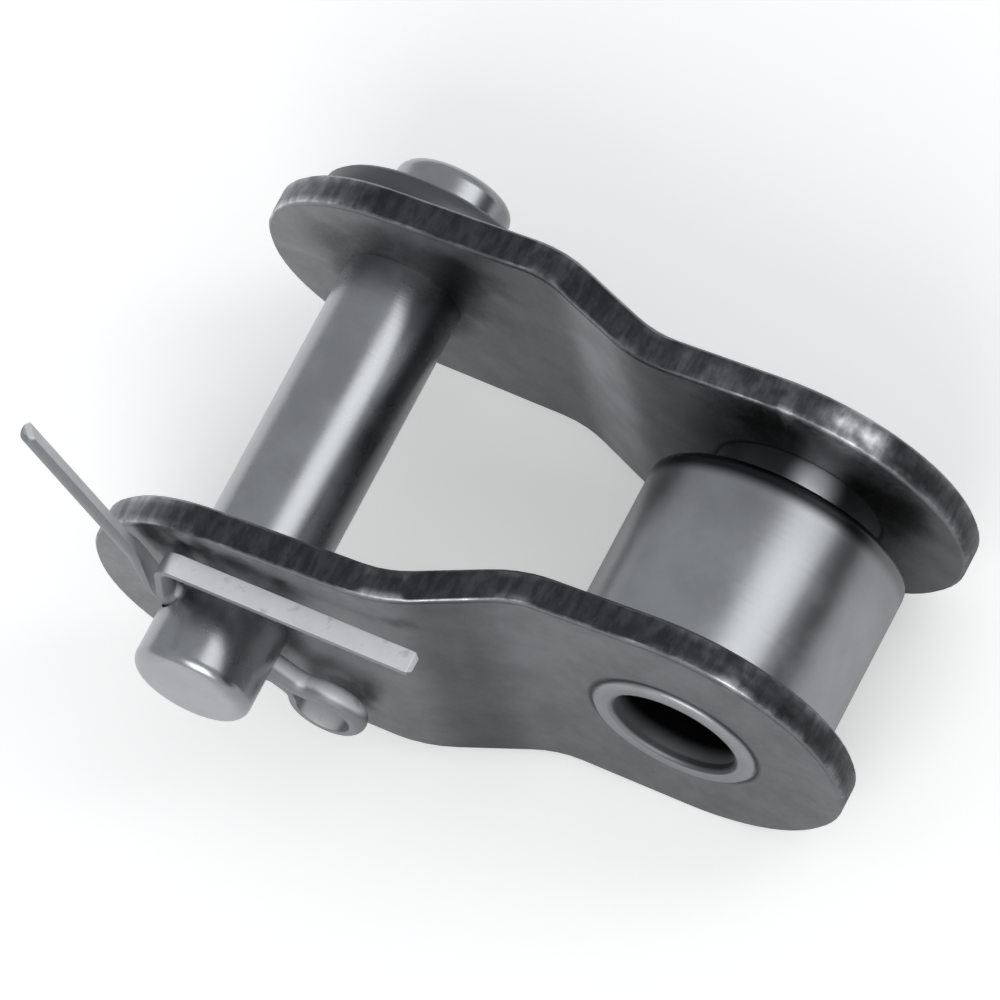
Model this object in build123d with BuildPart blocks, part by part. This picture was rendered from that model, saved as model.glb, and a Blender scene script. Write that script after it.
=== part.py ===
from build123d import *
from math import acos, cos, degrees, radians, sin
import os

# Offset chain link, 12.7 mm pitch, in millimetres, +Z up.
# The origin is the middle of the bushing's bore. +X runs from the pin to the bushing,
# and +Y points to the washer's side, away from the split pin.

# Plates
pitch = 12.70
inner_width = 6.65            # between the plates at the bushing end
plate_thickness = 1.00
link_side_gap = 0.28          # at each side of the next link's bushing in the wide end
pin_end_radius = 4.15
bushing_end_radius = 4.95
crank_start = 5.05            # from the pin's axis to the first bend
crank_run = 3.40              # from the first bend to the second, along X
bend_inner_radius = 3.60
plate_edge_chamfer = 0.12

# Bushing and roller
bushing_wall = 0.65
bushing_stand_out = 0.12      # past each plate's outer face
bushing_edge_chamfer = 0.12
roller_diameter = 7.60
roller_edge_round = 0.28
roller_bore_chamfer = 0.15
roller_running_gap = 0.06     # radial, on the bushing
roller_side_gap = 0.08        # to the near plate, where the roller lies
roller_end_play = 1.12        # to the far plate

# Connecting pin
pin_diameter = 3.45
pin_running_gap = 0.07        # radial, of the next link's pin in the bushing
pin_end_past_hole = 1.58      # from the cross hole's edge to the near end
pin_end_past_washer = 1.42    # from the washer to the far end
pin_end_round = 0.38

# End washer, pressed on the pin against the far plate
washer_diameter = 6.60
washer_thickness = 0.95
washer_edge_chamfer = 0.12

# Split pin, one folded half-round wire in a cross hole beside the near plate
wire_width = 0.66
wire_side = 0.18              # straight side between the flat and the round back
wire_bulge = 0.20             # height of the round back
wire_flat_gap = 0.04          # between the two legs in the hole
hole_clearance = 0.05         # radial, round the folded wire
hole_plate_gap = 0.15         # from the near plate's face to the hole's edge
legs_angle = 138.0            # direction of the legs in the hole, from +X towards +Z
neck_length = 0.72            # from the pin's surface to where the wire opens
neck_radius = 0.80
eye_inner_radius = 0.79
fold_radius = 0.60
fold_reach = 0.35             # from the hole's mouth to the folded leg's first corner
fold_rise = 1.90              # from its first corner to its second
fold_rise_angle = 84.0
folded_leg_angle = -3.0       # direction of the leg that lies back over the pin
folded_leg_length = 7.70
straight_leg_radius = 1.30
straight_leg_angle = 112.3    # direction of the other leg
straight_leg_length = 7.30
twist_length = 1.80           # over which the straight leg turns about itself
twist_angle = 110.0
leg_tip_chamfer = 0.12

# Worked out from the sizes above
pin_x = -pitch
half_inner = inner_width / 2
narrow_face = half_inner + plate_thickness
half_wide = narrow_face + bushing_stand_out + link_side_gap
wide_face = half_wide + plate_thickness
pin_radius = pin_diameter / 2
bushing_bore_radius = pin_radius + pin_running_gap
bushing_radius = bushing_bore_radius + bushing_wall
cross_hole_radius = wire_side + wire_bulge + wire_flat_gap / 2 + hole_clearance
cotter_y = -(wide_face + hole_plate_gap + cross_hole_radius)
pin_near_y = cotter_y - cross_hole_radius - pin_end_past_hole
washer_far_y = wide_face + washer_thickness
pin_far_y = washer_far_y + pin_end_past_washer
roller_near_y = -half_inner + roller_side_gap
roller_length = inner_width - roller_side_gap - roller_end_play


# One cranked side plate. side is -1 for the near plate and +1 for the far one.
def make_plate(side):
    past_end = bushing_end_radius
    first_bend = pin_x + crank_start
    middle_wide = side * (half_wide + plate_thickness / 2)
    middle_narrow = side * (half_inner + plate_thickness / 2)
    with BuildPart() as plate:
        # The strip seen from above: straight, bend, ramp, bend, straight
        with BuildSketch(Plane.XY):
            with BuildLine() as middle:
                FilletPolyline(
                    (pin_x - pin_end_radius - past_end, middle_wide),
                    (first_bend, middle_wide),
                    (first_bend + crank_run, middle_narrow),
                    (bushing_end_radius + past_end, middle_narrow),
                    radius=bend_inner_radius + plate_thickness / 2,
                )
            trace(middle.line, line_width=plate_thickness)
        extrude(amount=bushing_end_radius + past_end, both=True)
        # The blanked outline seen from the side: two round ends and their common tangents
        with BuildSketch(Plane.XZ):
            with Locations((pin_x, 0)):
                Circle(pin_end_radius)
            with Locations((0, 0)):
                Circle(bushing_end_radius)
            make_hull()
        extrude(amount=wide_face + past_end, both=True, mode=Mode.INTERSECT)
        # Every edge of the two faces, without the bend lines and the short edges across the sheet
        rims = plate.edges().filter_by(lambda e: not crosses_sheet(e))
        chamfer(rims - rims.filter_by(Axis.Z), length=plate_edge_chamfer)
        # Punched holes for the bushing and the pin
        with BuildSketch(Plane.XZ):
            Circle(bushing_radius)
            with Locations((pin_x, 0)):
                Circle(pin_radius)
        extrude(amount=wide_face + past_end, both=True, mode=Mode.SUBTRACT)
    return plate


def crosses_sheet(edge):
    return abs(edge.length - plate_thickness) < 0.001 and edge.geom_type == GeomType.LINE


near_plate = make_plate(-1)
far_plate = make_plate(1)

# The bushing, held tight in both plates
with BuildPart() as bushing:
    with BuildSketch(Plane.XY) as bushing_section:
        with Locations(((bushing_bore_radius + bushing_radius) / 2, 0)):
            Rectangle(bushing_wall, 2 * (narrow_face + bushing_stand_out))
        chamfer(bushing_section.vertices(), length=bushing_edge_chamfer)
    revolve(axis=Axis.Y)

# The roller, free on the bushing
with BuildPart() as roller:
    roller_bore_radius = bushing_radius + roller_running_gap
    roller_wall = roller_diameter / 2 - roller_bore_radius
    with BuildSketch(Plane.XY) as roller_section:
        with Locations((roller_bore_radius + roller_wall / 2, roller_near_y + roller_length / 2)):
            Rectangle(roller_wall, roller_length)
        corners = roller_section.vertices().sort_by(Axis.X)
        fillet(corners[2:], radius=roller_edge_round)
        chamfer(corners[:2], length=roller_bore_chamfer)
    revolve(axis=Axis.Y)

# The pin, with rounded ends and a cross hole through its axis
pin_axis = Axis((pin_x, 0, 0), (0, 1, 0))
legs_direction = Vector(cos(radians(legs_angle)), 0, sin(radians(legs_angle)))
with BuildPart() as connecting_pin:
    with BuildSketch(Plane.XY) as pin_section:
        with Locations((pin_x + pin_radius / 2, (pin_near_y + pin_far_y) / 2)):
            Rectangle(pin_radius, pin_far_y - pin_near_y)
        fillet(pin_section.vertices().sort_by(Axis.X)[2:], radius=pin_end_round)
    revolve(axis=pin_axis)
    with BuildSketch(Plane(origin=(pin_x, cotter_y, 0), z_dir=legs_direction)):
        Circle(cross_hole_radius)
    extrude(amount=pin_diameter, both=True, mode=Mode.SUBTRACT)

# The washer on the pin's far end
with BuildPart() as end_washer:
    with BuildSketch(Plane.XY) as washer_section:
        washer_wall = washer_diameter / 2 - pin_radius
        with Locations((pin_x + pin_radius + washer_wall / 2, wide_face + washer_thickness / 2)):
            Rectangle(washer_wall, washer_thickness)
        chamfer(washer_section.vertices().sort_by(Axis.X)[2:], length=washer_edge_chamfer)
    revolve(axis=pin_axis)

# The split pin's wire is followed along its flat side, in a plane square to the pin.
# It runs from the folded leg's tip through the hole, round the eye and back to the straight leg's tip.
cotter_plane = Plane(origin=(pin_x, cotter_y, 0), x_dir=(1, 0, 0), z_dir=(0, -1, 0))
hole_middle = cotter_plane.origin
across = Vector(legs_direction.Z, 0, -legs_direction.X)
upper_exit = hole_middle + legs_direction * pin_radius + across * (wire_flat_gap / 2)
lower_exit = hole_middle + legs_direction * pin_radius - across * (wire_flat_gap / 2)
upper_neck_start = upper_exit - legs_direction * (pin_diameter + neck_length)
neck_turn = degrees(acos((wire_flat_gap / 2 + neck_radius) / (eye_inner_radius + neck_radius)))
rise_direction = Vector(cos(radians(fold_rise_angle)), 0, sin(radians(fold_rise_angle)))
folded_direction = Vector(cos(radians(folded_leg_angle)), 0, sin(radians(folded_leg_angle)))
first_corner = upper_exit + legs_direction * fold_reach
second_corner = first_corner + rise_direction * fold_rise
folded_tip = second_corner + folded_direction * folded_leg_length

# The wire's section, with its flat along X and its round back towards +Y
with BuildSketch() as wire_section:
    with BuildLine():
        back = ThreePointArc(
            (-wire_width / 2, wire_side),
            (0, wire_side + wire_bulge),
            (wire_width / 2, wire_side),
        )
        Polyline(back @ 1, (wire_width / 2, 0), (-wire_width / 2, 0), back @ 0)
    make_face()

with BuildPart() as cotter_pin:
    with BuildLine(cotter_plane) as wire_path:
        folded_leg = FilletPolyline(
            folded_tip, second_corner, first_corner, upper_neck_start, radius=fold_radius
        )
        upper_neck = JernArc(folded_leg @ 1, folded_leg % 1, neck_radius, neck_turn)
        eye = JernArc(upper_neck @ 1, upper_neck % 1, eye_inner_radius, -180 - 2 * neck_turn)
        lower_neck = JernArc(eye @ 1, eye % 1, neck_radius, neck_turn)
        lower_shank = Line(lower_neck @ 1, lower_exit)
        JernArc(lower_shank @ 1, lower_shank % 1, straight_leg_radius, straight_leg_angle - legs_angle)
    wire = wire_path.line
    with BuildSketch(Plane(origin=wire @ 0, x_dir=(0, 1, 0), z_dir=wire % 0)):
        add(wire_section.sketch)
    sweep(path=wire)
    # The straight leg is twisted, so that it shows its narrow side further out
    leg_start = Plane(origin=wire @ 1, x_dir=(0, 1, 0), z_dir=wire % 1)
    for share in (0, 0.25, 0.5, 0.75, 1):
        with BuildSketch(leg_start.offset(twist_length * share)):
            add(wire_section.sketch, rotation=-twist_angle * share)
    loft()
    with BuildSketch(leg_start.offset(twist_length)):
        add(wire_section.sketch, rotation=-twist_angle)
    extrude(amount=straight_leg_length - twist_length)
    # The cut tips of the two legs
    tips = cotter_pin.faces().filter_by(lambda face: abs(face.area - wire_section.sketch.area) < 0.0001)
    chamfer(tips.edges(), length=leg_tip_chamfer)

pieces = {
    "near_plate": near_plate,
    "far_plate": far_plate,
    "bushing": bushing,
    "roller": roller,
    "connecting_pin": connecting_pin,
    "end_washer": end_washer,
    "cotter_pin": cotter_pin,
}
os.makedirs("parts", exist_ok=True)
for name, piece in pieces.items():
    piece.part.label = name
    export_step(piece.part, f"parts/{name}.step")
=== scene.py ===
import math

import bpy
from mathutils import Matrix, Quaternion, Vector


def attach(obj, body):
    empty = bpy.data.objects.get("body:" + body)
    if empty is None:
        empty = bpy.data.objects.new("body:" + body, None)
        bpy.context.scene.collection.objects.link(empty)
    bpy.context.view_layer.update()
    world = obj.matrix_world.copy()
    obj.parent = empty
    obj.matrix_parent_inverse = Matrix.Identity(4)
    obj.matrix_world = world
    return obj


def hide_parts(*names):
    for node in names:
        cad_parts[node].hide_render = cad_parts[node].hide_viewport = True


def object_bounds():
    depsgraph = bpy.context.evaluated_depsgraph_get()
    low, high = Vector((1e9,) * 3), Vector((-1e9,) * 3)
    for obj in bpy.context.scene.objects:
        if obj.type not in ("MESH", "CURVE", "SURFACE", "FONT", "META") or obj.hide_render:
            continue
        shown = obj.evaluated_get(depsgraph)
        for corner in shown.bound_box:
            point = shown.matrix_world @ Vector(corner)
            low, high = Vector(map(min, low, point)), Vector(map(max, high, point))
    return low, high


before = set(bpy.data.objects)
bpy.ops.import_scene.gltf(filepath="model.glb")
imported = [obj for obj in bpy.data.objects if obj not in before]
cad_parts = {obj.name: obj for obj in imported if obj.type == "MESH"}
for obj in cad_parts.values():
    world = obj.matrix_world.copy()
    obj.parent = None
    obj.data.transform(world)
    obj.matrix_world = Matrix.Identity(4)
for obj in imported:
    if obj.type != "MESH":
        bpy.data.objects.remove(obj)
cadLow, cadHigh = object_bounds()
mm = 0.001
print("frame loaded:", ", ".join(sorted(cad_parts)))


def srgb(code):
    # hex as a paint program shows it, turned into Blender's linear colour
    parts = [int(code[i:i + 2], 16) / 255 for i in (1, 3, 5)]
    return [p / 12.92 if p <= 0.04045 else ((p + 0.055) / 1.055) ** 2.4 for p in parts] + [1.0]


def addNode(tree, kind, settings=None, links=None):
    # settings go to the node's own properties or to its sockets, links to its sockets
    node = tree.nodes.new(kind)
    for name, value in (settings or {}).items():
        if isinstance(name, str) and hasattr(node, name):
            setattr(node, name, value)
        else:
            node.inputs[name].default_value = value
    for name, source in (links or {}).items():
        tree.links.new(source, node.inputs[name])
    return node.outputs


eased = {"interpolation_type": "SMOOTHSTEP"}    # every change from one value to another is eased


# camera, with the photograph's angle and tilt
shot = {
    "lookAt": (-7.305, -0.077, 0.303),    # mm, the point in the middle of the picture
    "distance": 370.3,                    # mm
    "azimuth": 41.9,                      # degrees, 0 looks along +Y
    "elevation": 62.3,
    "roll": -17.3,
    "sensor": 36,                         # mm
    "lens": 495.6,                        # mm
    "clip": (0.01, 20),                   # m
}


def addCamera():
    azimuth, elevation = math.radians(shot["azimuth"]), math.radians(shot["elevation"])
    back = Vector((
        math.sin(azimuth) * math.cos(elevation),
        -math.cos(azimuth) * math.cos(elevation),
        math.sin(elevation),
    ))
    camera = bpy.data.objects.new("camera", bpy.data.cameras.new("camera"))
    bpy.context.scene.collection.objects.link(camera)
    camera.location = (Vector(shot["lookAt"]) + back * shot["distance"]) * mm
    camera.rotation_mode = "QUATERNION"
    roll = Quaternion((0, 0, 1), math.radians(shot["roll"]))
    camera.rotation_quaternion = back.to_track_quat("Z", "Y") @ roll
    camera.data.lens = shot["lens"]
    camera.data.sensor_width = shot["sensor"]
    camera.data.clip_start, camera.data.clip_end = shot["clip"]
    bpy.context.scene.camera = camera


addCamera()
print("camera set")


# room: a wide white table, a grey studio sky with a darker side, and two soft boxes
room = {
    "floor": "#F4F4F3",
    "floorRoughness": 0.7,
    "floorSize": 12.0,                    # m
    "floorLift": 0.42,                    # white of the lit table that the camera and metal see
    "mirroredLift": 0.85,                 # share of it that metal sees at the table's lit end
    "darkTable": (-17.0, -2.0),           # mm along X, where the table that metal sees grows darker
    "sky": "#B4B6B9",
    "darkSide": "#262728",
    "darkFrom": (0.80, 0.90),             # how far a direction leans to +X before the sky is dark
}
softBoxes = {
    "keySoftBox": {
        "toward": (0.535, 0.345, 0.772),
        "distance": 0.35,                 # m
        "size": (0.11, 0.26),
        "power": 0.16,                    # W
    },
    "frontSoftBox": {
        "toward": (0.2, -0.8, 0.6),
        "distance": 0.5,
        "size": (0.3, 0.3),
        "power": 1.0,
    },
}


def addSoftBox(name):
    settings = softBoxes[name]
    lamp = bpy.data.lights.new(name, "AREA")
    lamp.shape = "RECTANGLE"
    lamp.size, lamp.size_y = settings["size"]
    lamp.energy = settings["power"]
    box = bpy.data.objects.new(name, lamp)
    bpy.context.scene.collection.objects.link(box)
    toward = Vector(settings["toward"]).normalized()
    box.location = toward * settings["distance"]
    box.rotation_mode = "QUATERNION"
    box.rotation_quaternion = toward.to_track_quat("Z", "Y")


def addSky():
    world = bpy.data.worlds.new("studioSky")
    bpy.context.scene.world = world
    world.use_nodes = True
    tree = world.node_tree
    direction = addNode(tree, "ShaderNodeTexCoord")["Generated"]
    leaning = addNode(tree, "ShaderNodeSeparateXYZ", links={"Vector": direction})["X"]
    low, high = room["darkFrom"]
    dark = addNode(tree, "ShaderNodeMapRange", eased | {"From Min": low, "From Max": high}, {
        "Value": leaning,
    })[0]
    colour = addNode(tree, "ShaderNodeMix", {
        "data_type": "RGBA", 6: srgb(room["sky"]), 7: srgb(room["darkSide"]),
    }, {0: dark})[2]
    tree.links.new(colour, tree.nodes["Background"].inputs["Color"])


def whiteTable():
    # matt painted board: the camera and the metal see it lit, and it keeps the link's soft shadow
    material = bpy.data.materials.new("mattPaintedBoard")
    material.use_nodes = True
    tree = material.node_tree
    shader = tree.nodes["Principled BSDF"]
    shader.inputs["Base Color"].default_value = srgb(room["floor"])
    shader.inputs["Roughness"].default_value = room["floorRoughness"]
    shader.inputs["Emission Color"].default_value = srgb(room["floor"])
    seen = addNode(tree, "ShaderNodeLightPath")
    # under the link and to its right the metal sees the table in shadow
    position = addNode(tree, "ShaderNodeNewGeometry")["Position"]
    along = addNode(tree, "ShaderNodeSeparateXYZ", links={"Vector": position})["X"]
    litEnd, darkEnd = room["darkTable"]
    lit = addNode(tree, "ShaderNodeMapRange", eased | {
        "From Min": darkEnd * mm, "From Max": litEnd * mm, "To Max": room["mirroredLift"],
    }, {"Value": along})[0]
    mirrored = addNode(tree, "ShaderNodeMath", {"operation": "MULTIPLY"}, {
        0: seen["Is Glossy Ray"], 1: lit,
    })[0]
    direct = addNode(tree, "ShaderNodeMath", {"operation": "MAXIMUM"}, {
        0: seen["Is Camera Ray"], 1: mirrored,
    })[0]
    anySeen = addNode(tree, "ShaderNodeMath", {"operation": "MAXIMUM"}, {
        0: direct, 1: seen["Is Transmission Ray"],
    })[0]
    lift = addNode(tree, "ShaderNodeMath", {"operation": "MULTIPLY", 1: room["floorLift"]}, {0: anySeen})[0]
    tree.links.new(lift, shader.inputs["Emission Strength"])
    return material


def addTable():
    half = room["floorSize"] / 2
    corners = [(-half, -half), (half, -half), (half, half), (-half, half)]
    mesh = bpy.data.meshes.new("floor")
    mesh.from_pydata([(x, y, cadLow[2]) for x, y in corners], [], [(0, 1, 2, 3)])
    mesh.materials.append(whiteTable())
    floor = bpy.data.objects.new("floor", mesh)
    bpy.context.scene.collection.objects.link(floor)


addSky()
addTable()
for name in softBoxes:
    addSoftBox(name)
bpy.context.scene.view_settings.view_transform = "Standard"
print("room and lights set")


# what every metal here shares
metal = {
    "patchRoughness": 0.62,               # how strong the fine steps of its cloudy patterns are
    "middle": (0.3, 0.7),                 # the part of a pattern's values that is used
}


def startMetal(name):
    material = bpy.data.materials.new(name)
    material.use_nodes = True
    tree = material.node_tree
    shader = tree.nodes["Principled BSDF"]
    shader.inputs["Metallic"].default_value = 1.0
    # where a point of the piece lies, in mm
    place = addNode(tree, "ShaderNodeVectorMath", {"operation": "SCALE", "Scale": 1 / mm}, {
        0: addNode(tree, "ShaderNodeTexCoord")["Object"],
    })[0]
    return material, tree, shader, place


def feed(tree, shader, sources):
    for name, source in sources.items():
        tree.links.new(source, shader.inputs[name])


def markPlaces(tree, place, marks):
    # soft round marks, each with its place in mm, radius in mm and strength
    total = None
    for centre, radius, strength in marks:
        away = addNode(tree, "ShaderNodeVectorMath", {"operation": "DISTANCE", 1: centre}, {
            0: place,
        })["Value"]
        mark = addNode(tree, "ShaderNodeMapRange", eased | {
            "From Min": radius, "From Max": radius * 0.25, "To Max": strength,
        }, {"Value": away})[0]
        total = mark if total is None else addNode(tree, "ShaderNodeMath", {"operation": "MAXIMUM"}, {
            0: total, 1: mark,
        })[0]
    return total


def awayFromAxis(tree, place, x):
    # mm from the line along Y through x
    level = addNode(tree, "ShaderNodeVectorMath", {
        "operation": "MULTIPLY_ADD", 1: (1, 0, 1), 2: (-x, 0, 0),
    }, {0: place})[0]
    return addNode(tree, "ShaderNodeVectorMath", {"operation": "LENGTH"}, {0: level})["Value"]


# the two side plates
plates = {
    "face": "#838486",
    "cut": "#4B4C4E",
    # pale colour of worn rims and of the painted highlights on the rims and cut edge
    "rimHighlightAndWear": "#CFD0D2",
    # colour of the painted shade and painted shadows
    "paintedShade": "#1C1C1D",
    "roughness": (0.38, 0.50),
    "faceTurn": (0.55, 0.88),             # how far a surface faces along Y, from the rim to the face
    "rimTurn": (0.15, 0.5),               # and from the cut edge to the rim
    "patchSize": 1.25,                    # mm, cloudy patches of the rolled surface
    "patchTone": (0.88, 1.12),
    "grainSize": 0.125,                   # mm, coarser than the real grain, which would not show
    "grainTone": (0.95, 1.05),
    "shearSize": (0.3125, 0.909, 0.3125),    # mm, shear marks, long across the sheet
    "shearTone": (0.72, 1.35),
    "grainHeight": 0.02,                  # mm
    "bumpStrength": 0.3,
    "rimWearAndSheen": (0.03, 0.28),             # how bright the rims are between their glints, worn and with a painted sheen
    "paleEnd": (-13.2, -15.0),            # mm along X, where the cut is painted paler round the pin's end, a painted highlight
    "paleEndTone": 2.5,
    "slopeMiddle": -5.95,                 # mm along X, between the two bends
    "slopeReach": (1.7, 0.3),             # mm from the middle, where its tone begins and is full
    # painted light and shade on the slope, for each plate
    "paintedSlopeLight": {"near_plate": 0.6, "far_plate": 2.0},
    "bushingCorner": (2.62, 2.47),        # mm from the bushing's axis, where the painted shade begins and is full
    "bushingCornerShade": 0.75,
    "pinAxis": -12.7,                     # mm along X
    "pinCorner": (2.5, 1.8),              # mm from the pin's axis
    "pinCornerShade": 0.7,
    "paintedShadeWander": 0.9,                      # mm that the painted shade runs in or out of a round outline
    # bright places on the cut edge, worn steel with a painted highlight of the key light: place and radius
    # in mm, strength
    "wearAndGlintSize": 0.625,                    # mm, how coarse the worn and glinting places are
    "wearAndKeyGlints": {
        "near_plate": [
            ((2.3, -4.3, 4.4), 0.42, 0.5),
        ],
        "far_plate": [
            ((2.15, 3.75, 4.5), 1.35, 1.0),
            ((-1.3, 3.85, 4.9), 3.2, 0.13),
        ],
    },
    # painted glints: smooth painted highlights that stay on the thin rims
    "paintedRimGlints": {
        "near_plate": [
            ((-8.0, -5.65, 4.4), 1.0, 0.8),
            ((-6.9, -5.35, 4.5), 1.1, 0.95),
            ((-5.7, -4.8, 4.55), 1.1, 0.85),
            ((-0.5, -4.3, 4.85), 0.7, 0.5),
            ((2.3, -4.2, 4.4), 0.9, 0.9),
        ],
        "far_plate": [
            ((-0.9, 3.35, 4.6), 0.9, 0.8),
            ((0.1, 3.35, 4.6), 0.8, 0.7),
        ],
    },
    # painted shadows on the faces, where shade falls beside the other parts
    "paintedShadows": {
        "near_plate": [
            ((-14.2, -5.73, 3.3), 0.9, 0.75),
            ((-13.0, -5.73, 3.4), 0.8, 0.7),
            ((-11.9, -5.73, 3.4), 0.8, 0.65),
            ((-10.6, -5.73, 3.2), 0.9, 0.6),
            ((-7.1, -5.3, 3.2), 0.7, 0.5),
            ((-9.7, -5.73, -2.4), 1.3, 0.85),
        ],
        "far_plate": [
            ((2.6, 3.33, 1.4), 2.0, 0.9),
            ((-0.6, 3.33, 3.7), 1.6, 0.8),
            ((-11.0, 4.73, 2.1), 2.4, 0.85),
            ((-11.2, 4.73, 0.7), 1.8, 0.85),
            ((-13.3, 4.73, 2.5), 1.7, 0.6),
            ((-14.1, 4.73, 1.4), 1.9, 0.65),
        ],
    },
}


def findSheetSides(tree):
    # the sheet's faces look along Y, its cut edge never does, and the rim lies between
    normal = addNode(tree, "ShaderNodeTexCoord")["Normal"]
    alongY = addNode(tree, "ShaderNodeSeparateXYZ", links={"Vector": normal})["Y"]
    facing = addNode(tree, "ShaderNodeMath", {"operation": "ABSOLUTE"}, {0: alongY})[0]
    rimEnd, faceStart = plates["faceTurn"]
    onFace = addNode(tree, "ShaderNodeMapRange", eased | {"From Min": rimEnd, "From Max": faceStart}, {
        "Value": facing,
    })[0]
    offFace = addNode(tree, "ShaderNodeMapRange", eased | {"From Min": faceStart, "From Max": rimEnd}, {
        "Value": facing,
    })[0]
    cutEnd, rimStart = plates["rimTurn"]
    offCut = addNode(tree, "ShaderNodeMapRange", eased | {"From Min": cutEnd, "From Max": rimStart}, {
        "Value": facing,
    })[0]
    onRim = addNode(tree, "ShaderNodeMath", {"operation": "MULTIPLY"}, {0: offCut, 1: offFace})[0]
    return onFace, onRim


def findBrightPlaces(tree, place, name, onRim, patches):
    # worn places and painted glints and sheen on the cut edge and the rims
    rimLow, rimHigh = plates["rimWearAndSheen"]
    rimPatches = addNode(tree, "ShaderNodeMapRange", eased | {
        "From Min": 0.35, "From Max": 0.65, "To Min": rimLow, "To Max": rimHigh,
    }, {"Value": patches})[0]
    rimWearAndSheen = addNode(tree, "ShaderNodeMath", {"operation": "MULTIPLY"}, {0: onRim, 1: rimPatches})[0]
    raggedness = addNode(tree, "ShaderNodeTexNoise", {
        "Scale": 1 / plates["wearAndGlintSize"], "Detail": 1.5, "Roughness": metal["patchRoughness"],
    }, {"Vector": place})[0]
    raggedness = addNode(tree, "ShaderNodeMapRange", eased | {
        "From Min": 0.3, "From Max": 0.6, "To Min": 0.3,
    }, {"Value": raggedness})[0]
    wearAndGlint = addNode(tree, "ShaderNodeMath", {"operation": "MULTIPLY"}, {
        0: markPlaces(tree, place, plates["wearAndKeyGlints"][name]), 1: raggedness,
    })[0]
    glint = addNode(tree, "ShaderNodeMath", {"operation": "MULTIPLY"}, {
        0: markPlaces(tree, place, plates["paintedRimGlints"][name]), 1: onRim,
    })[0]
    rimWearAndSheen = addNode(tree, "ShaderNodeMath", {"operation": "MAXIMUM"}, {0: rimWearAndSheen, 1: glint})[0]
    return addNode(tree, "ShaderNodeMath", {"operation": "MAXIMUM", "use_clamp": True}, {
        0: rimWearAndSheen, 1: wearAndGlint,
    })[0]


def findPaintedShade(tree, place, name, patches):
    # painted shade in the corners round the bushing and the pin, and painted shadows in patches on the faces
    corners = []
    for axis, corner in ((0.0, "bushingCorner"), (plates["pinAxis"], "pinCorner")):
        outer, inner = plates[corner]
        corners.append(addNode(tree, "ShaderNodeMapRange", eased | {
            "From Min": outer, "From Max": inner, "To Max": plates[corner + "Shade"],
        }, {"Value": awayFromAxis(tree, place, axis)})[0])
    inCorners = addNode(tree, "ShaderNodeMath", {"operation": "MAXIMUM"}, {
        0: corners[0], 1: corners[1],
    })[0]
    # the places' outlines wander within the sheet
    reach = plates["paintedShadeWander"]
    wander = addNode(tree, "ShaderNodeTexNoise", {"Scale": 1 / plates["patchSize"], "Detail": 3.0}, {
        "Vector": place,
    })["Color"]
    moved = addNode(tree, "ShaderNodeVectorMath", {
        "operation": "MULTIPLY_ADD", 1: (2 * reach, 0, 2 * reach),
    }, {0: wander, 2: place})[0]
    moved = addNode(tree, "ShaderNodeVectorMath", {"operation": "ADD", 1: (-reach, 0, -reach)}, {
        0: moved,
    })[0]
    paintedShade = addNode(tree, "ShaderNodeMath", {"operation": "MAXIMUM"}, {
        0: inCorners, 1: markPlaces(tree, moved, plates["paintedShadows"][name]),
    })[0]
    shadeBreakup = addNode(tree, "ShaderNodeMapRange", eased | {
        "From Min": 0.2, "From Max": 0.5, "To Min": 0.7,
    }, {"Value": patches})[0]
    return addNode(tree, "ShaderNodeMath", {"operation": "MULTIPLY"}, {0: paintedShade, 1: shadeBreakup})[0]


def findSheetTone(tree, place, name, onFace, patches, grain, shear):
    # how much paler or darker than its colour each place is
    low, high = metal["middle"]
    patchTone = addNode(tree, "ShaderNodeMapRange", eased | {
        "From Min": low, "From Max": high,
        "To Min": plates["patchTone"][0], "To Max": plates["patchTone"][1],
    }, {"Value": patches})[0]
    grainTone = addNode(tree, "ShaderNodeMapRange", eased | {
        "From Min": low, "From Max": high,
        "To Min": plates["grainTone"][0], "To Max": plates["grainTone"][1],
    }, {"Value": grain})[0]
    tone = addNode(tree, "ShaderNodeMath", {"operation": "MULTIPLY"}, {0: patchTone, 1: grainTone})[0]
    # the slope is painted paler inside the link and darker outside it, as painted light and shade
    along = addNode(tree, "ShaderNodeSeparateXYZ", links={"Vector": place})["X"]
    fromSlope = addNode(tree, "ShaderNodeMath", {"operation": "SUBTRACT", 1: plates["slopeMiddle"]}, {
        0: along,
    })[0]
    fromSlope = addNode(tree, "ShaderNodeMath", {"operation": "ABSOLUTE"}, {0: fromSlope})[0]
    paintedSlopeLight = addNode(tree, "ShaderNodeMapRange", eased | {
        "From Min": plates["slopeReach"][0], "From Max": plates["slopeReach"][1],
        "To Min": 1.0, "To Max": plates["paintedSlopeLight"][name],
    }, {"Value": fromSlope})[0]
    # the cut is streaked by shearing, and painted paler round the pin's end as a painted highlight
    paleEnd = addNode(tree, "ShaderNodeMapRange", eased | {
        "From Min": plates["paleEnd"][0], "From Max": plates["paleEnd"][1],
        "To Min": 1.0, "To Max": plates["paleEndTone"],
    }, {"Value": along})[0]
    shearTone = addNode(tree, "ShaderNodeMapRange", eased | {
        "From Min": 0.35, "From Max": 0.68,
        "To Min": plates["shearTone"][0], "To Max": plates["shearTone"][1],
    }, {"Value": shear})[0]
    cutTone = addNode(tree, "ShaderNodeMath", {"operation": "MULTIPLY"}, {0: shearTone, 1: paleEnd})[0]
    sideTone = addNode(tree, "ShaderNodeMix", {}, {0: onFace, 2: cutTone, 3: paintedSlopeLight})[0]
    return addNode(tree, "ShaderNodeMath", {"operation": "MULTIPLY"}, {0: tone, 1: sideTone})[0]


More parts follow.
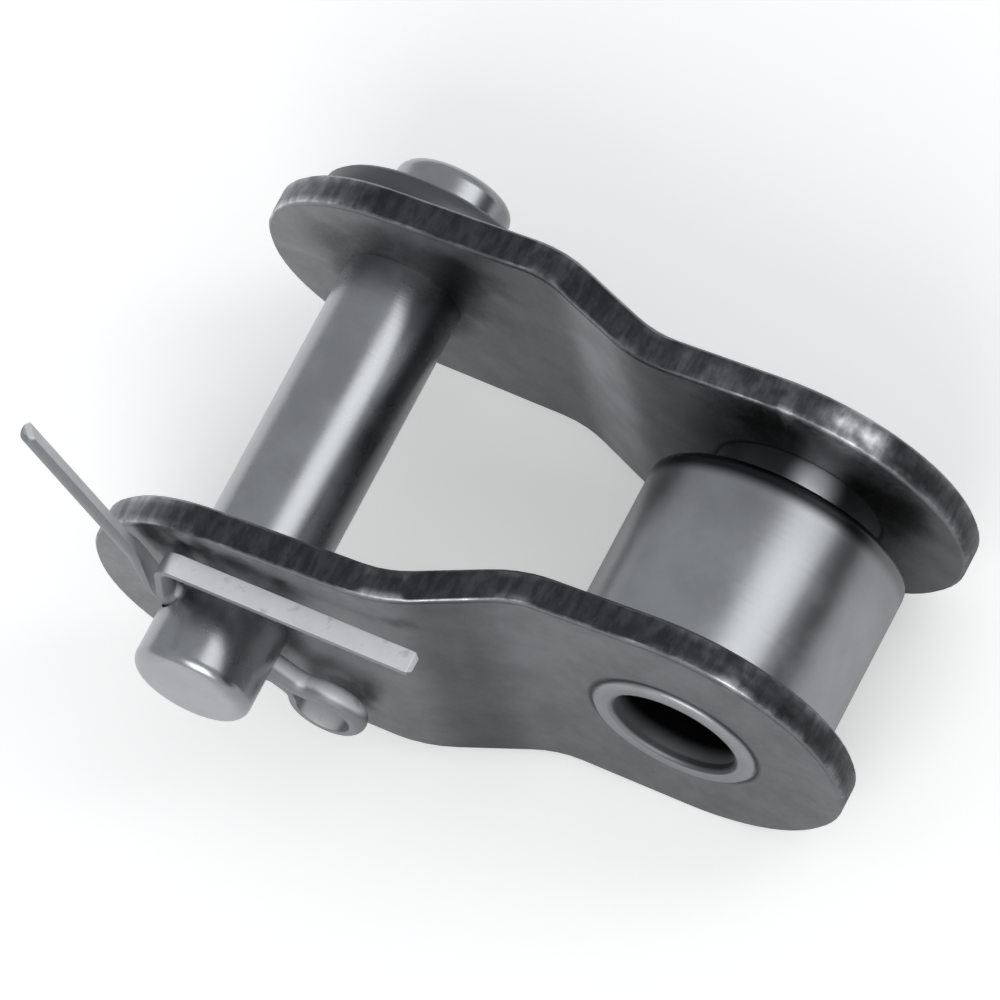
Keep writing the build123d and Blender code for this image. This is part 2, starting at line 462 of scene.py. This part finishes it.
def rolledSheetSteel(name):
    # satin rolled sheet with blanked edges: dull grey faces, a dark streaked cut, bright thin rims that are
    # worn and carry painted highlights, and painted shade on the faces
    material, tree, shader, place = startMetal("rolledSheetSteel_" + name)
    onFace, onRim = findSheetSides(tree)
    patches = addNode(tree, "ShaderNodeTexNoise", {
        "Scale": 1 / plates["patchSize"], "Detail": 4.0, "Roughness": metal["patchRoughness"],
    }, {"Vector": place})[0]
    grain = addNode(tree, "ShaderNodeTexNoise", {
        "Scale": 1 / plates["grainSize"], "Detail": 3.0, "Roughness": metal["patchRoughness"],
    }, {"Vector": place})[0]
    sheared = addNode(tree, "ShaderNodeVectorMath", {
        "operation": "MULTIPLY", 1: [1 / size for size in plates["shearSize"]],
    }, {0: place})[0]
    shear = addNode(tree, "ShaderNodeTexNoise", {
        "Scale": 1.0, "Detail": 4.0, "Roughness": metal["patchRoughness"],
    }, {"Vector": sheared})[0]
    colour = addNode(tree, "ShaderNodeMix", {
        "data_type": "RGBA", 6: srgb(plates["cut"]), 7: srgb(plates["face"]),
    }, {0: onFace})[2]
    bright = findBrightPlaces(tree, place, name, onRim, patches)
    colour = addNode(tree, "ShaderNodeMix", {"data_type": "RGBA", 7: srgb(plates["rimHighlightAndWear"])}, {
        0: bright, 6: colour,
    })[2]
    # painted shade, kept to the faces
    paintedShade = addNode(tree, "ShaderNodeMath", {"operation": "MULTIPLY"}, {
        0: findPaintedShade(tree, place, name, patches), 1: onFace,
    })[0]
    colour = addNode(tree, "ShaderNodeMix", {"data_type": "RGBA", 7: srgb(plates["paintedShade"])}, {
        0: paintedShade, 6: colour,
    })[2]
    tone = findSheetTone(tree, place, name, onFace, patches, grain, shear)
    roughness = addNode(tree, "ShaderNodeMapRange", eased | {
        "From Min": metal["middle"][0], "From Max": metal["middle"][1],
        "To Min": plates["roughness"][0], "To Max": plates["roughness"][1],
    }, {"Value": grain})[0]
    height = addNode(tree, "ShaderNodeMix", {}, {0: onFace, 2: shear, 3: grain})[0]
    feed(tree, shader, {
        "Base Color": addNode(tree, "ShaderNodeVectorMath", {"operation": "SCALE"}, {
            0: colour, "Scale": tone,
        })[0],
        "Roughness": roughness,
        "Normal": addNode(tree, "ShaderNodeBump", {
            "Strength": plates["bumpStrength"], "Distance": plates["grainHeight"] * mm,
        }, {"Height": height})[0],
    })
    return material


# what the bushing, the roller, the pin and the washer share
turning = {
    "cloudSize": 2.0,                     # mm
    "cloudTone": (0.9, 1.08),
    "cloudRoughness": (-0.03, 0.05),      # added to the piece's roughness
    "linesAround": 0.15,                  # changes per mm round the piece, so the lines run far
    "bumpStrength": 0.3,
}


def turnedSteel(name, settings):
    # hardened steel turned or ground about Y: fine lines round it and a soft cloudiness
    material, tree, shader, place = startMetal(name)
    cloud = addNode(tree, "ShaderNodeTexNoise", {
        "Scale": 1 / turning["cloudSize"], "Detail": 4.0, "Roughness": metal["patchRoughness"],
    }, {"Vector": place})[0]
    drawnOut = addNode(tree, "ShaderNodeVectorMath", {
        "operation": "MULTIPLY", 1: (turning["linesAround"], settings["linesPerMm"], turning["linesAround"]),
    }, {0: place})[0]
    lines = addNode(tree, "ShaderNodeTexNoise", {
        "Scale": 1.0, "Detail": 3.0, "Roughness": metal["patchRoughness"],
    }, {"Vector": drawnOut})[0]
    low, high = metal["middle"]
    tone = addNode(tree, "ShaderNodeMapRange", eased | {
        "From Min": low, "From Max": high,
        "To Min": turning["cloudTone"][0], "To Max": turning["cloudTone"][1],
    }, {"Value": cloud})[0]
    colour = addNode(tree, "ShaderNodeVectorMath", {
        "operation": "SCALE", 0: srgb(settings["colour"])[:3],
    }, {"Scale": tone})[0]
    smoothest, roughest = turning["cloudRoughness"]
    roughness = addNode(tree, "ShaderNodeMapRange", eased | {
        "From Min": low, "From Max": high,
        "To Min": settings["roughness"] + smoothest, "To Max": settings["roughness"] + roughest,
    }, {"Value": cloud})[0]
    feed(tree, shader, {
        "Base Color": colour,
        "Roughness": roughness,
        "Normal": addNode(tree, "ShaderNodeBump", {
            "Strength": turning["bumpStrength"], "Distance": settings["lineHeight"] * mm,
        }, {"Height": lines})[0],
    })
    return material, tree, shader, place, colour


bushing = {
    "colour": "#A9ABAD",
    "ring": "#9B9C9E",                    # the ring at each end, painted lighter at its left
    "ringShaded": "#646567",                # and painted darker at its right, as painted shade
    # the bore's wall, painted pale at its mouth and dark deep inside, as painted shade
    "mouth": "#A2A3A5",
    "deep": "#161617",
    "outside": "#56575A",                 # between the plates, in the roller's and the plates' shade
    # colour of the painted highlight
    "paintedLight": "#F0F1F2",
    "roughness": 0.44,
    "boreRoughness": 0.58,
    "linesPerMm": 9.0,
    "lineHeight": 0.01,                   # mm
    "boreEdge": (1.90, 1.96),             # mm from the axis, where the bore ends
    "ringEdge": (4.15, 4.23),             # mm along Y, where the ring at each end begins
    "ringShadeFrom": (-2.0, 1.0),          # mm along X, over which the ring's painted shade grows
    "deepFrom": (4.2, 3.65),              # mm along Y, over which the bore is painted darker inwards as painted shade
    # the painted highlight beside the roller: place and radius in mm, strength
    "paintedLightPlaces": [((1.0, 2.85, 2.2), 1.0, 1.0)],
}


def turnedTubeSteel(name):
    # hardened turned tube: rings at its ends painted lighter at the left and darker at the right, a bore
    # painted darker inwards as shade, painted shade between the plates and one painted highlight beside the
    # roller
    material, tree, shader, place, colour = turnedSteel("turnedTubeSteel", bushing)
    away = awayFromAxis(tree, place, 0.0)
    parts = addNode(tree, "ShaderNodeSeparateXYZ", links={"Vector": place})
    along = addNode(tree, "ShaderNodeMath", {"operation": "ABSOLUTE"}, {0: parts["Y"]})[0]
    boreLow, boreHigh = bushing["boreEdge"]
    inBore = addNode(tree, "ShaderNodeMapRange", eased | {"From Min": boreHigh, "From Max": boreLow}, {
        "Value": away,
    })[0]
    outOfBore = addNode(tree, "ShaderNodeMapRange", eased | {"From Min": boreLow, "From Max": boreHigh}, {
        "Value": away,
    })[0]
    ringLow, ringHigh = bushing["ringEdge"]
    atEnd = addNode(tree, "ShaderNodeMapRange", eased | {"From Min": ringLow, "From Max": ringHigh}, {
        "Value": along,
    })[0]
    offEnd = addNode(tree, "ShaderNodeMapRange", eased | {"From Min": ringHigh, "From Max": ringLow}, {
        "Value": along,
    })[0]
    inwards = addNode(tree, "ShaderNodeMapRange", eased | {
        "From Min": bushing["deepFrom"][0], "From Max": bushing["deepFrom"][1],
    }, {"Value": along})[0]
    wall = addNode(tree, "ShaderNodeMix", {
        "data_type": "RGBA", 6: srgb(bushing["mouth"]), 7: srgb(bushing["deep"]),
    }, {0: inwards})[2]
    toRight = addNode(tree, "ShaderNodeMapRange", eased | {
        "From Min": bushing["ringShadeFrom"][0], "From Max": bushing["ringShadeFrom"][1],
    }, {"Value": parts["X"]})[0]
    ring = addNode(tree, "ShaderNodeMix", {
        "data_type": "RGBA", 6: srgb(bushing["ring"]), 7: srgb(bushing["ringShaded"]),
    }, {0: toRight})[2]
    wall = addNode(tree, "ShaderNodeMix", {"data_type": "RGBA"}, {0: atEnd, 6: wall, 7: ring})[2]
    colour = addNode(tree, "ShaderNodeMix", {"data_type": "RGBA"}, {0: inBore, 6: colour, 7: wall})[2]
    between = addNode(tree, "ShaderNodeMath", {"operation": "MULTIPLY"}, {0: outOfBore, 1: offEnd})[0]
    colour = addNode(tree, "ShaderNodeMix", {"data_type": "RGBA", 7: srgb(bushing["outside"])}, {
        0: between, 6: colour,
    })[2]
    paintedLight = markPlaces(tree, place, bushing["paintedLightPlaces"])
    colour = addNode(tree, "ShaderNodeMix", {"data_type": "RGBA", 7: srgb(bushing["paintedLight"])}, {
        0: paintedLight, 6: colour,
    })[2]
    roughness = addNode(tree, "ShaderNodeMapRange", eased | {
        "To Min": bushing["roughness"], "To Max": bushing["boreRoughness"],
    }, {"Value": inBore})[0]
    feed(tree, shader, {"Base Color": colour, "Roughness": roughness})
    return material


roller = {
    "colour": "#ADAFB1",
    # colour of the painted shade in a ring at the far edge
    "dark": "#2A2B2C",
    "roughness": 0.31,
    "linesPerMm": 7.0,
    "lineHeight": 0.012,                  # mm
    "darkEdge": (1.45, 1.85),             # mm along Y, where the far edge's ring of painted shade begins
    "darkFades": (2.6, 3.7),              # mm along X, where that ring grows paler
    "darkLeft": 0.45,                     # the share of its dark that is left there
    "farShadeFrom": (-0.5, 1.5),              # mm along Y, over which the roller is painted darker towards its far end, as painted shade
    "farShadeTone": 0.86,
}


def burnishedRollerSteel(name):
    # hardened roller burnished by running: a smooth sheen, painted shade in a dark ring at its far edge, and
    # painted darker towards that end
    material, tree, shader, place, colour = turnedSteel("burnishedRollerSteel", roller)
    parts = addNode(tree, "ShaderNodeSeparateXYZ", links={"Vector": place})
    atEdge = addNode(tree, "ShaderNodeMapRange", eased | {
        "From Min": roller["darkEdge"][0], "From Max": roller["darkEdge"][1],
    }, {"Value": parts["Y"]})[0]
    fading = addNode(tree, "ShaderNodeMapRange", eased | {
        "From Min": roller["darkFades"][0], "From Max": roller["darkFades"][1],
        "To Min": 1.0, "To Max": roller["darkLeft"],
    }, {"Value": parts["X"]})[0]
    dark = addNode(tree, "ShaderNodeMath", {"operation": "MULTIPLY"}, {0: atEdge, 1: fading})[0]
    farShadeScale = addNode(tree, "ShaderNodeMapRange", eased | {
        "From Min": roller["farShadeFrom"][0], "From Max": roller["farShadeFrom"][1],
        "To Min": 1.0, "To Max": roller["farShadeTone"],
    }, {"Value": parts["Y"]})[0]
    colour = addNode(tree, "ShaderNodeVectorMath", {"operation": "SCALE"}, {0: colour, "Scale": farShadeScale})[0]
    colour = addNode(tree, "ShaderNodeMix", {"data_type": "RGBA", 7: srgb(roller["dark"])}, {
        0: dark, 6: colour,
    })[2]
    feed(tree, shader, {"Base Color": colour})
    return material


pin = {
    "colour": "#AAACAE",
    "roughness": 0.27,
    "linesPerMm": 10.0,
    "lineHeight": 0.005,                  # mm
}


def groundPinSteel(name):
    # ground pin: the smoothest surface, with a narrow highlight
    return turnedSteel("groundPinSteel", pin)[0]


washer = {
    "colour": "#6C6D6F",
    "roughness": 0.44,
    "linesPerMm": 6.0,
    "lineHeight": 0.015,                  # mm
}


def punchedWasherSteel(name):
    # plain punched washer: dull and dark behind the far plate
    return turnedSteel("punchedWasherSteel", washer)[0]


# the split pin's wire
wire = {
    # painted lit top and painted shaded sides of the one wire
    "top": "#F4F5F6",
    "side": "#8E9092",
    "scuffed": "#C4C6C8",
    "roughness": 0.5,
    "metallic": 0.4,                      # the zinc's white bloom hides part of its metal
    "paintedLitSide": (0.35, 0.45, 0.82),     # the way the lit surfaces face, which are painted paler as painted light
    "paintedLitFrom": (0.45, 0.75),           # how far a surface faces that way
    "cloudPerMm": 1.1,
    "cloudTone": (0.92, 1.0),
    "scuffsPerMm": 2.2,
    "scuffsFrom": (0.56, 0.7),            # the part of that pattern's values that is scuffed
    "scuffStrength": 0.6,
    "linesPerMm": (0.5, 10.0, 0.5),       # drawing lines, coarser than the real ones
    "lineHeight": 0.012,                  # mm
    "bumpStrength": 0.25,
}


def zincCoatedWire(name):
    # zinc-coated drawn wire: painted white on its lit top and painted darker at its shaded sides, with small
    # scuffs
    material, tree, shader, place = startMetal("zincCoatedWire")
    shader.inputs["Roughness"].default_value = wire["roughness"]
    shader.inputs["Metallic"].default_value = wire["metallic"]
    cloud = addNode(tree, "ShaderNodeTexNoise", {
        "Scale": wire["cloudPerMm"], "Detail": 4.0, "Roughness": metal["patchRoughness"],
    }, {"Vector": place})[0]
    scuffs = addNode(tree, "ShaderNodeTexNoise", {
        "Scale": wire["scuffsPerMm"], "Detail": 4.0, "Roughness": metal["patchRoughness"],
    }, {"Vector": place})[0]
    drawnOut = addNode(tree, "ShaderNodeVectorMath", {"operation": "MULTIPLY", 1: wire["linesPerMm"]}, {
        0: place,
    })[0]
    lines = addNode(tree, "ShaderNodeTexNoise", {
        "Scale": 1.0, "Detail": 3.0, "Roughness": metal["patchRoughness"],
    }, {"Vector": drawnOut})[0]
    scuffed = addNode(tree, "ShaderNodeMapRange", eased | {
        "From Min": wire["scuffsFrom"][0], "From Max": wire["scuffsFrom"][1],
        "To Max": wire["scuffStrength"],
    }, {"Value": scuffs})[0]
    facing = addNode(tree, "ShaderNodeVectorMath", {"operation": "DOT_PRODUCT", 1: wire["paintedLitSide"]}, {
        0: addNode(tree, "ShaderNodeTexCoord")["Normal"],
    })["Value"]
    paintedLight = addNode(tree, "ShaderNodeMapRange", eased | {
        "From Min": wire["paintedLitFrom"][0], "From Max": wire["paintedLitFrom"][1],
    }, {"Value": facing})[0]
    top = addNode(tree, "ShaderNodeMix", {
        "data_type": "RGBA", 6: srgb(wire["top"]), 7: srgb(wire["scuffed"]),
    }, {0: scuffed})[2]
    colour = addNode(tree, "ShaderNodeMix", {"data_type": "RGBA", 6: srgb(wire["side"])}, {
        0: paintedLight, 7: top,
    })[2]
    tone = addNode(tree, "ShaderNodeMapRange", eased | {
        "From Min": metal["middle"][0], "From Max": metal["middle"][1],
        "To Min": wire["cloudTone"][0], "To Max": wire["cloudTone"][1],
    }, {"Value": cloud})[0]
    feed(tree, shader, {
        "Base Color": addNode(tree, "ShaderNodeVectorMath", {"operation": "SCALE"}, {
            0: colour, "Scale": tone,
        })[0],
        "Normal": addNode(tree, "ShaderNodeBump", {
            "Strength": wire["bumpStrength"], "Distance": wire["lineHeight"] * mm,
        }, {"Height": lines})[0],
    })
    return material


# the split pin's straight leg, turned about itself the other way from the frame's solid
leg = {
    "start": (-14.3282, -6.325, 1.6122),  # mm
    "along": (-0.3795, 0.0, 0.9252),
    "solidTwist": -110.0,                 # degrees, over the length below
    "shownTwist": 45.0,
    "twistLength": 1.8,                   # mm
    "middle": 0.19,                       # mm from the flat to the middle of the wire
    "depth": (-0.02, 0.42),               # mm from the flat, within which a point is on the leg
    "halfWidth": 0.36,                    # mm
    "shift": (-0.16, -0.085, -0.157),     # mm at the end of the twist and beyond
}


def turnLeg(mesh):
    start, along = Vector(leg["start"]) * mm, Vector(leg["along"]).normalized()
    flatSide = Vector((along.z, 0, -along.x))    # where the wire's flat faces before the twist
    shallow, deep = leg["depth"]
    for vertex in mesh.vertices:
        fromStart = vertex.co - start
        reach = fromStart.dot(along)
        share = min(max(reach, 0) / (leg["twistLength"] * mm), 1)
        flat = Quaternion(along, math.radians(leg["solidTwist"]) * share) @ flatSide
        depth = -fromStart.dot(flat) / mm
        width = abs(fromStart.dot(along.cross(flat))) / mm
        if reach < 0 or not shallow < depth < deep or width > leg["halfWidth"]:
            continue
        middle = start + along * reach - flat * leg["middle"] * mm
        turn = Quaternion(along, math.radians(leg["shownTwist"] - leg["solidTwist"]) * share)
        vertex.co = middle + turn @ (vertex.co - middle) + Vector(leg["shift"]) * mm * share


def makeWire():
    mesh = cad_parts["cotter_pin"].data.copy()
    mesh.name = "splitPinWire"
    turnLeg(mesh)
    piece = bpy.data.objects.new("split_pin_wire", mesh)
    bpy.context.scene.collection.objects.link(piece)
    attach(piece, "link")
    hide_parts("cotter_pin")
    return piece


# how the CAD meshes are smoothed
softening = {
    "weldGap": 0.001,                     # mm
    "crispAngle": 55,                     # degrees, an edge this square stays crisp, such as a hole's
    "flattenAngle": 0.4,                  # degrees, joins the wire's facets before its bevel
    "bevelWidth": 0.06,                   # mm, on the wire
    "bevelAngle": 38,                     # degrees
    "bevelSegments": 3,
    "flatWeight": 60,                     # how much a large facet sets the shading round it
}


def soften(piece, bevelled):
    for polygon in piece.data.polygons:
        polygon.use_smooth = True
    weld = piece.modifiers.new("weld", "WELD")
    weld.merge_threshold = softening["weldGap"] * mm
    if bevelled:
        flatten = piece.modifiers.new("flatten", "DECIMATE")
        flatten.decimate_type = "DISSOLVE"
        flatten.angle_limit = math.radians(softening["flattenAngle"])
        bevel = piece.modifiers.new("bevel", "BEVEL")
        bevel.width = softening["bevelWidth"] * mm
        bevel.segments = softening["bevelSegments"]
        bevel.limit_method = "ANGLE"
        bevel.angle_limit = math.radians(softening["bevelAngle"])
        bevel.use_clamp_overlap = True
    else:
        crisp = piece.modifiers.new("crisp", "EDGE_SPLIT")
        crisp.split_angle = math.radians(softening["crispAngle"])
        crisp.use_edge_sharp = False
    normals = piece.modifiers.new("normals", "WEIGHTED_NORMAL")
    normals.mode = "FACE_AREA"
    normals.weight = softening["flatWeight"]
    normals.keep_sharp = False


finishes = {
    "near_plate": rolledSheetSteel,
    "far_plate": rolledSheetSteel,
    "bushing": turnedTubeSteel,
    "roller": burnishedRollerSteel,
    "connecting_pin": groundPinSteel,
    "end_washer": punchedWasherSteel,
    "cotter_pin": zincCoatedWire,
}
for name, makeFinish in finishes.items():
    isWire = name == "cotter_pin"
    piece = makeWire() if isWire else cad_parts[name]
    soften(piece, isWire)
    piece.data.materials.clear()
    piece.data.materials.append(makeFinish(name))
    print("softened and given its material:", name)
